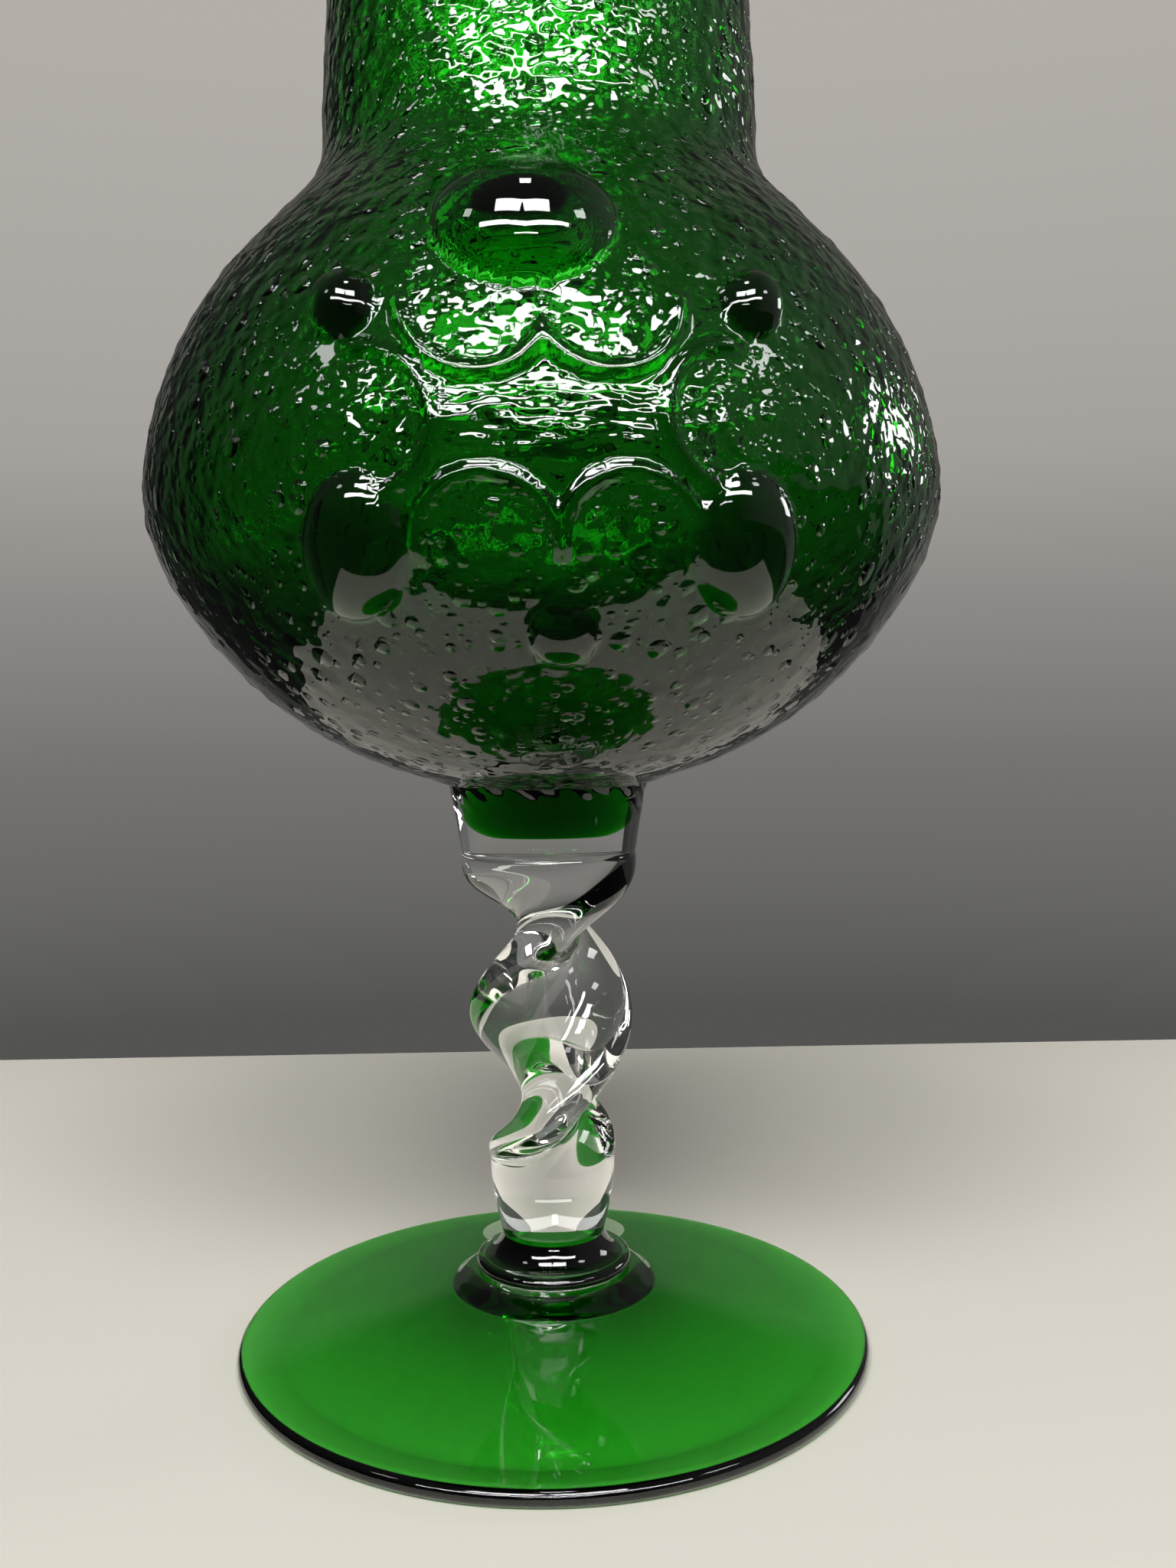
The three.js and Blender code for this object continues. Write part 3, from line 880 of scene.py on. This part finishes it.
def tableMaterial():
    # pale and matt, with a painted glow of its own colour in gloss; in gloss it ends at the table's left,
    # right and front edges, with a painted reflection of a dim room past them
    s = studio
    material = bpy.data.materials.new("pale_table")
    material.use_nodes = True
    nodes, links = material.node_tree.nodes, material.node_tree.links
    surface = nodes["Principled BSDF"]
    surface.inputs["Base Color"].default_value = (*s["tableColour"], 1)
    surface.inputs["Roughness"].default_value = s["tableRoughness"]
    split = nodes.new("ShaderNodeSeparateXYZ")
    links.new(nodes.new("ShaderNodeTexCoord").outputs["Object"], split.inputs[0])
    combined, _ = mathNodes(nodes, links)
    past = combined("MAXIMUM", combined("LESS_THAN", split.outputs["X"], s["tableLeft"]),
                    combined("GREATER_THAN", split.outputs["X"], s["tableRight"]))
    past = combined("MAXIMUM", past, combined("LESS_THAN", split.outputs["Y"], s["tableFront"]))
    glossy = nodes.new("ShaderNodeLightPath").outputs["Is Glossy Ray"]
    hidden = combined("MULTIPLY", past, glossy)
    # painted glow: in gloss the table shines with its own colour
    surface.inputs["Emission Color"].default_value = (*s["tableColour"], 1)
    links.new(combined("MULTIPLY", glossy, s["tableGlossGlow"]), surface.inputs["Emission Strength"])
    # painted reflection: past its edges the table shows as a dim glow in gloss
    dim = nodes.new("ShaderNodeEmission")
    dim.inputs["Strength"].default_value = s["paintedRoomInGloss"]
    shown = nodes.new("ShaderNodeMixShader")
    links.new(hidden, shown.inputs["Fac"])
    links.new(surface.outputs["BSDF"], shown.inputs[1])
    links.new(dim.outputs["Emission"], shown.inputs[2])
    links.new(shown.outputs["Shader"], nodes["Material Output"].inputs["Surface"])
    return material


def toneRamp(nodes, links, height):
    # the wall's painted light at a height, straight between its named tones, warmer where it is lighter
    s = studio
    low, high = s["wallLow"], s["wallHigh"]
    reach = nodes.new("ShaderNodeMapRange")
    reach.inputs["From Min"].default_value = low
    reach.inputs["From Max"].default_value = high
    links.new(height, reach.inputs["Value"])
    ramp = nodes.new("ShaderNodeValToRGB")
    stops = ramp.color_ramp.elements
    for i, (at, tone) in enumerate(s["paintedWallLight"]):
        place = (at - low) / (high - low)
        if i < 2:
            stops[i].position = place  # a new ramp has two stops already
        else:
            stops.new(place)
        warmth = tone / s["paintedWallLight"][-1][1]
        stops[i].color = (*(tone * mix(a, b, warmth) for a, b in zip(s["lowTint"], s["highTint"])), 1)
    links.new(reach.outputs["Result"], ramp.inputs["Fac"])
    return ramp.outputs["Color"]


def wallMaterial():
    # a grey wall with painted light, lighter upwards by its height on Object coordinates, seen from its
    # front only; painted shade makes it dimmer high up in gloss and through glass, and a painted bright
    # patch glows through glass
    s = studio
    material = bpy.data.materials.new("grey_wall")
    material.use_nodes = True
    nodes, links = material.node_tree.nodes, material.node_tree.links
    nodes.remove(nodes["Principled BSDF"])
    split = nodes.new("ShaderNodeSeparateXYZ")
    links.new(nodes.new("ShaderNodeTexCoord").outputs["Object"], split.inputs[0])
    x, z, edge = split.outputs["X"], split.outputs["Z"], s["paintedPatchEdge"]
    paintedGlow = nodes.new("ShaderNodeEmission")
    links.new(toneRamp(nodes, links, z), paintedGlow.inputs["Color"])
    combined, ranged = mathNodes(nodes, links)
    ray = nodes.new("ShaderNodeLightPath")
    # painted glow: the bright patch, shown only to rays through glass
    inPaintedPatch = combined("MULTIPLY", ranged(x, s["paintedPatchLeft"], s["paintedPatchLeft"] + edge),
                      ranged(x, s["paintedPatchRight"], s["paintedPatchRight"] - edge))
    inPaintedPatch = combined("MULTIPLY", inPaintedPatch, ranged(z, s["paintedPatchLow"], s["paintedPatchLow"] + edge))
    inPaintedPatch = combined("MULTIPLY", inPaintedPatch, ray.outputs["Is Transmission Ray"])
    # painted shade: the wall is dimmer high up in reflections
    dimming = ranged(ray.outputs["Is Transmission Ray"], 0, 1, 1 - s["paintedShadeGloss"], 1 - s["paintedShadeThrough"])
    dimmed = combined("MULTIPLY", ranged(z, *s["paintedShadeFrom"]), dimming)
    dimmed = combined("MULTIPLY", ray.outputs["Is Glossy Ray"], dimmed)
    strength = combined("ADD", combined("SUBTRACT", 1, dimmed),
                        combined("MULTIPLY", inPaintedPatch, s["paintedGlow"] / s["paintedWallLight"][-1][1]))
    links.new(strength, paintedGlow.inputs["Strength"])
    shown = nodes.new("ShaderNodeMixShader")
    links.new(nodes.new("ShaderNodeNewGeometry").outputs["Backfacing"], shown.inputs["Fac"])
    links.new(paintedGlow.outputs["Emission"], shown.inputs[1])
    links.new(nodes.new("ShaderNodeBsdfTransparent").outputs["BSDF"], shown.inputs[2])
    links.new(shown.outputs["Shader"], nodes["Material Output"].inputs["Surface"])
    return material


def sheetOf(name, corners, material):
    # a flat sheet over four corners, in metres, outside the object
    mesh = bpy.data.meshes.new(name)
    mesh.from_pydata(corners, [], [(0, 1, 2, 3)])
    mesh.materials.append(material)
    piece = bpy.data.objects.new(name, mesh)
    bpy.context.scene.collection.objects.link(piece)
    return piece


def makeSky():
    # the world's light by direction: for sight the wall's painted light by height as the camera meets it,
    # for gloss and glass a dim room with a lighter right side, else an even sky
    s = studio
    world = bpy.data.worlds.new("room")
    bpy.context.scene.world = world
    world.use_nodes = True
    nodes, links = world.node_tree.nodes, world.node_tree.links
    split = nodes.new("ShaderNodeSeparateXYZ")
    links.new(nodes.new("ShaderNodeTexCoord").outputs["Generated"], split.inputs[0])
    combined, ranged = mathNodes(nodes, links)

    def chosen(share, otherwise, value):
        node = nodes.new("ShaderNodeMix")
        node.data_type = "RGBA"
        links.new(share, node.inputs["Factor"])
        links.new(otherwise, node.inputs["A"])
        links.new(value, node.inputs["B"])
        return node.outputs["Result"]

    x, z = split.outputs["X"], split.outputs["Z"]
    sky = ranged(z, 0, 1, s["skyLow"], s["skyHigh"])
    level = combined("SUBTRACT", s["rootGuard"], combined("MULTIPLY", z, z))
    level = combined("POWER", level, 0.5)  # the square root of 1 - z^2, kept off 0
    room = combined("ADD", ranged(z, 0, 1, s["roomLow"], s["roomHigh"]),
                    ranged(x, *s["rightFrom"], 0, s["rightGlow"]))
    slope = combined("DIVIDE", z, level)
    toWall = s["wallAt"] + cameraFacts["back"] * mm
    met = combined("ADD", combined("MULTIPLY", slope, toWall), cameraFacts["height"] * mm)
    wall = toneRamp(nodes, links, met)
    ray = nodes.new("ShaderNodeLightPath")
    bent = combined("MAXIMUM", ray.outputs["Is Glossy Ray"], ray.outputs["Is Transmission Ray"])
    light = chosen(bent, sky, room)
    light = chosen(ray.outputs["Is Camera Ray"], light, wall)
    links.new(light, nodes["Background"].inputs["Color"])


def makeStudio():
    # the table under and round the vase, the wall behind it that glass and gloss show, and the sky
    s = studio
    span, back, drop = s["tableSpan"], s["tableBack"], -s["tableDrop"]
    sheetOf("table", [(-span, -span, drop), (span, -span, drop), (span, back, drop), (-span, back, drop)],
            tableMaterial())
    at, left, right, low, top = s["wallAt"], s["wallLeft"], s["wallRight"], s["wallLow"], s["wallTop"]
    wall = sheetOf("wall", [(left, at, low), (right, at, low), (right, at, top), (left, at, top)],
                   wallMaterial())
    wall.visible_camera = wall.visible_diffuse = wall.visible_shadow = False
    makeSky()


# Lamps: the windows light everything, the panes show in the glass only

windows = {
    "leftWindow": {"azimuth": -21, "elevation": 47.3, "distance": 1.6, "size": (0.6, 0.38), "power": 18},
    "rightWindow": {"azimuth": 13, "elevation": 47.3, "distance": 1.6, "size": (0.6, 0.38), "power": 18},
    "rightDoor": {"azimuth": 116, "elevation": 15, "distance": 1.5, "size": (0.42, 0.3), "power": 3},
    "sill": {"azimuth": 0, "elevation": 17, "distance": 1.8, "size": (0.7, 0.05), "power": 2.8},
}
panes = {
    "lowLeftPane": {"azimuth": -24, "elevation": 28.3, "distance": 1.6, "size": (1.3, 0.14), "power": 17},
    "skylight": {"azimuth": 0, "elevation": 78, "distance": 1.6, "size": (0.2, 0.2), "power": 2.5},
    "rightPane": {"azimuth": 64, "elevation": 38, "distance": 1.6, "size": (0.3, 0.2), "power": 2.2},
    "leftPane": {"azimuth": -68, "elevation": 38, "distance": 1.6, "size": (0.2, 0.2), "power": 1},
    "lowRightPane": {"azimuth": 22, "elevation": 28.3, "distance": 1.6, "size": (1.3, 0.14), "power": 17},
}


def makeLamp(name, lightsMatt, azimuth, elevation, distance, size, power):
    # an oblong lamp at an azimuth from the front towards +X, facing the bowl's middle
    light = bpy.data.lights.new(name, "AREA")
    light.shape = "RECTANGLE"
    light.size, light.size_y = size
    light.energy = power
    a, e = math.radians(azimuth), math.radians(elevation)
    direction = Vector((math.sin(a) * math.cos(e), -math.cos(a) * math.cos(e), math.sin(e)))
    lamp = bpy.data.objects.new(name, light)
    lamp.location = Vector((0, 0, studio["lampAim"])) + direction * distance
    lamp.rotation_mode = "QUATERNION"
    lamp.rotation_quaternion = direction.to_track_quat("Z", "Y")
    lamp.visible_camera = False
    lamp.visible_diffuse = lightsMatt
    bpy.context.scene.collection.objects.link(lamp)


makeStudio()
for lightsMatt, lamps in ((True, windows), (False, panes)):
    for name, facts in lamps.items():
        makeLamp(name, lightsMatt, **facts)
print("studio made")


# Camera

def makeCamera():
    # forward is +Y turned by yaw and tipped by pitch; the picture's axes are turned about it by roll
    c = cameraFacts
    yaw, pitch, roll = (math.radians(c[k]) for k in ("yaw", "pitch", "roll"))
    right = Vector((math.cos(yaw), -math.sin(yaw), 0))
    forward = Vector((math.sin(yaw) * math.cos(pitch), math.cos(yaw) * math.cos(pitch), -math.sin(pitch)))
    up = right.cross(forward)
    turnedRight = right * math.cos(roll) - up * math.sin(roll)
    turnedUp = right * math.sin(roll) + up * math.cos(roll)
    data = bpy.data.cameras.new("camera")
    data.sensor_width = c["sensor"]
    data.lens = c["sensor"] * c["focal"] / max(c["picture"])
    data.clip_start = c["clipStart"]
    camera = bpy.data.objects.new("camera", data)
    axes = Matrix((turnedRight, turnedUp, -forward)).transposed().to_4x4()
    camera.matrix_world = Matrix.Translation((0, -c["back"] * mm, c["height"] * mm)) @ axes
    bpy.context.scene.collection.objects.link(camera)
    bpy.context.scene.camera = camera


makeCamera()

scene = bpy.context.scene
scene.view_settings.view_transform = "Standard"
scene.cycles.max_bounces = 24
scene.cycles.transmission_bounces = 24
scene.cycles.glossy_bounces = 12
